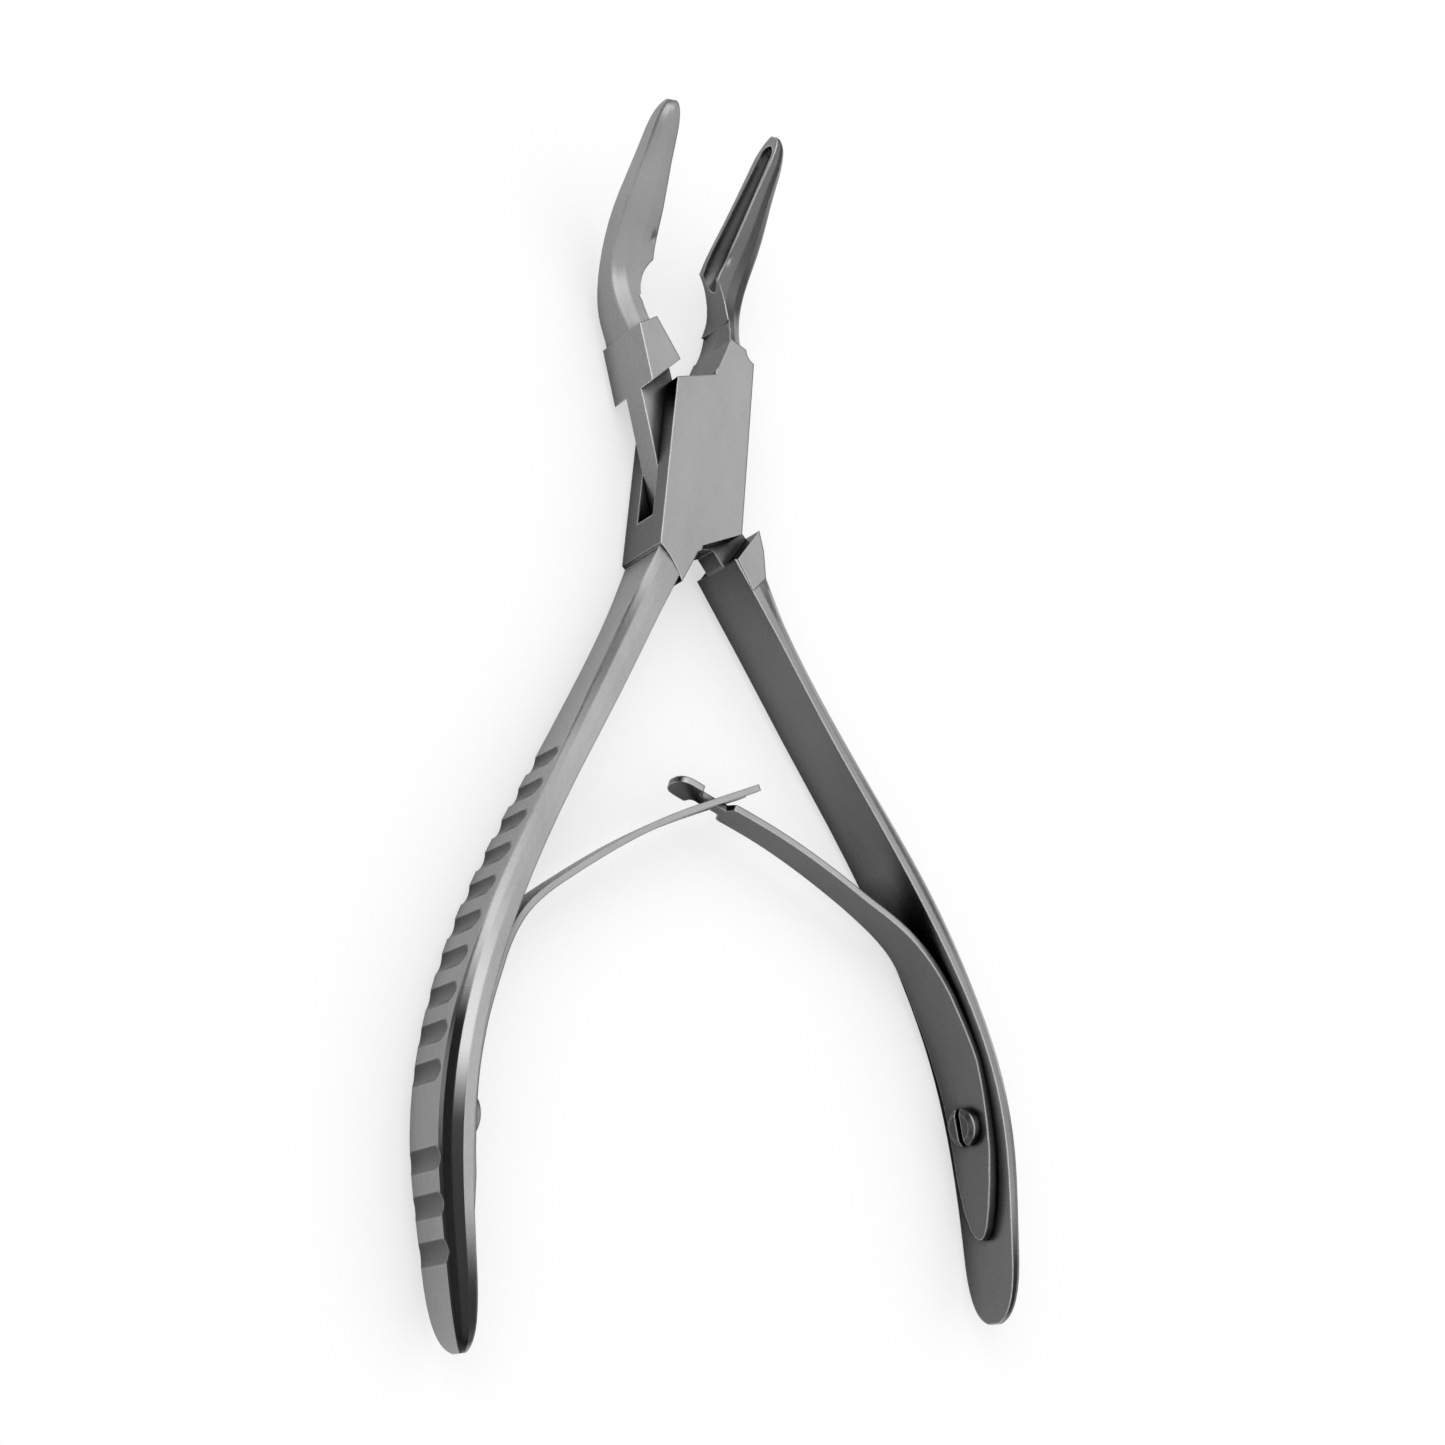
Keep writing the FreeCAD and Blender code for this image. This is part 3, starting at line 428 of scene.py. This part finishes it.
def leaf_stations(lean, reach):
    """Centre, direction angle, thickness and half width along a leaf, every fraction of a millimetre.
    Past the crossing the leaf is straight."""
    knots = []
    for x, y, angle, thick, half in SEATED:
        turn = math.radians(angle)
        knots.append((x - thick / 2 * math.cos(turn), y - thick / 2 * math.sin(turn), turn, thick, half))
    knots += [(x, y, math.radians(angle), thick, half) for x, y, angle, thick, half in FREE]
    knots.append((*CROSSING, math.radians(lean), LEAF_THICK, LEAF_HALF))
    stations = []
    for low, high in zip(knots, knots[1:]):
        span = math.dist(low[:2], high[:2])
        count = max(2, math.ceil(span / LEAF_STEP))
        for index in range(count):
            t = index / count
            ends = (2 * t ** 3 - 3 * t ** 2 + 1, -2 * t ** 3 + 3 * t ** 2,
                    t ** 3 - 2 * t ** 2 + t, t ** 3 - t ** 2)
            spot = [ends[0] * low[axis] + ends[1] * high[axis] for axis in (0, 1)]
            for knot, weight in ((low, ends[2]), (high, ends[3])):
                spot[0] -= math.sin(knot[2]) * span * weight
                spot[1] += math.cos(knot[2]) * span * weight
            rest = [low[item] + (high[item] - low[item]) * t for item in (2, 3, 4)]
            stations.append((*spot, *rest))
    x, y, turn, thick, half = knots[-1]
    count = math.ceil(reach / END_STEP)
    for index in range(count + 1):
        past = reach * index / count
        stations.append((x - math.sin(turn) * past, y + math.cos(turn) * past, turn, thick, half))
    return stations


def spread(profile, s):
    """Value of a profile of (distance, value) pairs at a distance."""
    for (low, start), (high, stop) in zip(profile, profile[1:]):
        if s <= high:
            return start + (stop - start) * (s - low) / (high - low)
    return profile[-1][1]


def leaf_body(name, side, stations, width, slot):
    """Solid strip along the stations. Width limits its half width near the crossing, and slot opens
    it from its middle; both go by the distance past the crossing in millimetres."""
    body = bmesh.new()
    distance, total = [0.0], 0.0
    for low, high in zip(stations, stations[1:]):
        total += math.dist(low[:2], high[:2])
        distance.append(total)
    start = distance[min(range(len(stations)), key=lambda i: math.dist(stations[i][:2], CROSSING))]
    turn = Matrix.Rotation(side * HALF_OPENING, 3, "Z")
    rows = []
    for (x, y, angle, thick, half), s in zip(stations, distance):
        wide = min(half, spread(width, s - start))
        gap = spread(slot, s - start)
        row = []
        for level in (-thick / 2, thick / 2):
            spot = Vector((side * (x + level * math.cos(angle)), y + level * math.sin(angle), 0))
            for across in (-wide, -gap, gap, wide):
                corner = (turn @ spot + Vector((0, 0, across))) * MM
                row.append(body.verts.new(corner + Vector((0, 0, PIVOT.z))))
        rows.append((row, gap > 0))
    for (low, low_open), (high, high_open) in zip(rows, rows[1:]):
        strips = [(0, 1), (2, 3)] if high_open else [(0, 1), (1, 2), (2, 3)]
        for first, second in strips:
            body.faces.new((low[first], low[second], high[second], high[first]))
            body.faces.new((low[4 + second], low[4 + first], high[4 + first], high[4 + second]))
        walls = [(0, 4), (7, 3)] + ([(5, 1), (2, 6)] if high_open else [])
        for first, second in walls:
            body.faces.new((low[first], low[second], high[second], high[first]))
    for row, is_open in (rows[-1], rows[0]):
        for first, second in ((0, 1), (2, 3)) if is_open else ((0, 1), (1, 2), (2, 3)):
            body.faces.new((row[first], row[second], row[4 + second], row[4 + first]))
    opening = next((index for index, row in enumerate(rows) if row[1]), None)
    if opening:
        row = rows[opening - 1][0]
        body.faces.new((row[1], row[2], row[6], row[5]))
    bmesh.ops.remove_doubles(body, verts=body.verts[:], dist=1e-7)
    bmesh.ops.recalc_face_normals(body, faces=body.faces[:])
    mesh = bpy.data.meshes.new(name)
    body.to_mesh(mesh)
    body.free()
    mesh.polygons.foreach_set("use_smooth", [True] * len(mesh.polygons))
    mesh.set_sharp_from_angle(angle=math.radians(40))
    leaf = bpy.data.objects.new(name, mesh)
    bpy.context.scene.collection.objects.link(leaf)
    return leaf


class RONGEUR_OT_springs(Operator):
    """Make the two leaf springs"""

    bl_idname = "rongeur.springs"
    bl_label = "Leaf springs"

    def execute(self, context):
        finish, ends = context.scene.rongeur_steel, context.scene.rongeur_leaf
        neck, reach, head, prong = (size / MM for size in (ends.neck, ends.reach, ends.head, ends.prong))
        gap = neck + ends.fork_gap / MM
        full, wide, far = LEAF_HALF, 9, 99
        necked = ((-wide, wide), (-2.1, wide), (-2.05, full), (-1.9, full - 0.1), (-1.8, neck + 0.4),
                  (-1.6, neck + 0.15), (-1.3, neck), (reach - 0.6, neck), (reach - 0.3, neck + 0.15),
                  (reach - 0.1, neck + 0.4), (reach, full - 0.1), (reach + 0.15, full), (head - 1.5, full),
                  (head - 0.85, full - 0.15), (head - 0.4, full - 0.5), (head - 0.15, full - 0.9),
                  (head, full - 1.4))
        slotted = ((-far, 0), (-3.6 - gap, 0), (-3.5 - gap, 0.4 * gap), (-3.2 - gap, 0.75 * gap),
                   (-2.9 - gap, 0.93 * gap), (-3.6, gap), (far, gap))
        forked = leaf_body("forked_leaf", -1, leaf_stations(FORK_LEAN, prong), ((-wide, wide), (far, wide)),
                           slotted)
        headed = leaf_body("t_head_leaf", 1, leaf_stations(HEAD_LEAN, head), necked, ((-far, 0), (far, 0)))
        for leaf, node, side in ((forked, "forked_spring", -1), (headed, "t_head_spring", 1)):
            # Painted light and shade on the leaves by facing: front edges take the leaf_edge grey, the wide
            # faces the leaf grey.
            leaf.data.materials.append(steel(f"{node}_steel", -side * HALF_OPENING, finish, finish.leaf_edge,
                                             finish.leaf, finish.leaf))
            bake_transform(leaf)
            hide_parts(node)
        return {"FINISHED"}


def sheet_object(name, corners, material):
    """A flat four-cornered piece of the stage."""
    mesh = bpy.data.meshes.new(name)
    mesh.from_pydata(corners, [], [(0, 1, 2, 3)])
    mesh.materials.append(material)
    made = bpy.data.objects.new(name, mesh)
    bpy.context.scene.collection.objects.link(made)
    return made


class RONGEUR_OT_stage(Operator):
    """Set up the floor, the lamps and the camera"""

    bl_idname = "rongeur.stage"
    bl_label = "Stage"

    def execute(self, context):
        settings = context.scene.rongeur_stage
        self.camera(context, settings)
        self.floor(context, settings)
        self.lamps(context, settings)
        context.scene.view_settings.view_transform = "Standard"
        return {"FINISHED"}

    def camera(self, context, settings):
        """Camera as the photograph was taken: turned about the pivot, then shifted across the view."""
        turn, yaw, pitch, roll = (math.radians(angle) for angle in (-5.58, -36.21, 21.32, 0.33))
        shift = Vector((3.88 * MM, -27.14 * MM, settings.distance))
        rotation = (Matrix.Rotation(turn, 3, "Z") @ Matrix.Rotation(yaw, 3, "Y")
                    @ Matrix.Rotation(pitch, 3, "X") @ Matrix.Rotation(roll, 3, "Z"))
        data = bpy.data.cameras.new("camera")
        data.lens, data.sensor_width = settings.lens, 36.0
        data.clip_start, data.clip_end = 0.01, 20.0
        camera = bpy.data.objects.new("camera", data)
        camera.matrix_world = Matrix.Translation(PIVOT + rotation @ shift) @ rotation.to_4x4()
        context.scene.collection.objects.link(camera)
        context.scene.camera = camera

    def floor(self, context, settings):
        """Wide floor under the instrument, shown part of the way to white to the camera."""
        material, tree = tree_of("floor")
        shader = tree.node("ShaderNodeBsdfPrincipled", {}, Base_Color=(*settings.floor, 1), Roughness=0.9)
        white = tree.node("ShaderNodeEmission", {}, (1, 1, 1, 1), 1.0)
        seen = tree.node("ShaderNodeLightPath", {}) * settings.whiteness
        tree.node("ShaderNodeOutputMaterial", {}, tree.node("ShaderNodeMixShader", {}, seen, shader, white))
        half = 3.0
        corners = ((-half, -half), (half, -half), (half, half), (-half, half))
        sheet_object("floor", [(x, y, FLOOR_LEVEL) for x, y in corners], material)

    def lamps(self, context, settings):
        """Wide soft light overhead in a dim room, and a broad key light from the upper left."""
        world = bpy.data.worlds.new("room")
        context.scene.world = world
        tree = Tree(world)
        level = tree.split(tree.node("ShaderNodeTexCoord", {}))[2]
        glow = tree.mix(level.rise(0.1, 0.62), settings.wall, settings.ceiling)
        light = tree.node("ShaderNodeBackground", {}, glow, settings.room)
        tree.node("ShaderNodeOutputWorld", {}, light)
        spot = Vector((-0.46, 0.29, 0.6))
        data = bpy.data.lights.new("key", "AREA")
        data.energy, data.size = settings.key, settings.key_size
        lamp = bpy.data.objects.new("key", data)
        lamp.location = spot
        lamp.rotation_euler = (PIVOT - spot).to_track_quat("-Z", "Y").to_euler()
        context.scene.collection.objects.link(lamp)


class RONGEUR_PT_sidebar(Panel):
    """Settings and steps of the rongeur"""

    bl_label = "Rongeur"
    bl_idname = "RONGEUR_PT_sidebar"
    bl_space_type = "VIEW_3D"
    bl_region_type = "UI"
    bl_category = "Rongeur"

    def draw(self, context):
        for group in (getattr(context.scene, name) for name in GROUPS):
            for name in group.__annotations__:
                self.layout.prop(group, name)
        for step in STEPS:
            self.layout.operator(step.bl_idname)


GROUPS = {"rongeur_steel": SteelSettings, "rongeur_leaf": LeafSettings, "rongeur_stage": StageSettings}
STEPS = (RONGEUR_OT_levers, RONGEUR_OT_screws, RONGEUR_OT_springs, RONGEUR_OT_stage)
CLASSES = (*GROUPS.values(), *STEPS, RONGEUR_PT_sidebar)


def register():
    for entry in CLASSES:
        bpy.utils.register_class(entry)
    for name, group in GROUPS.items():
        setattr(bpy.types.Scene, name, PointerProperty(type=group))


def unregister():
    for name in GROUPS:
        delattr(bpy.types.Scene, name)
    for entry in reversed(CLASSES):
        bpy.utils.unregister_class(entry)


def main():
    register()
    for step in STEPS:
        group, name = step.bl_idname.split(".")
        getattr(getattr(bpy.ops, group), name)()


if __name__ == "__main__":
    main()
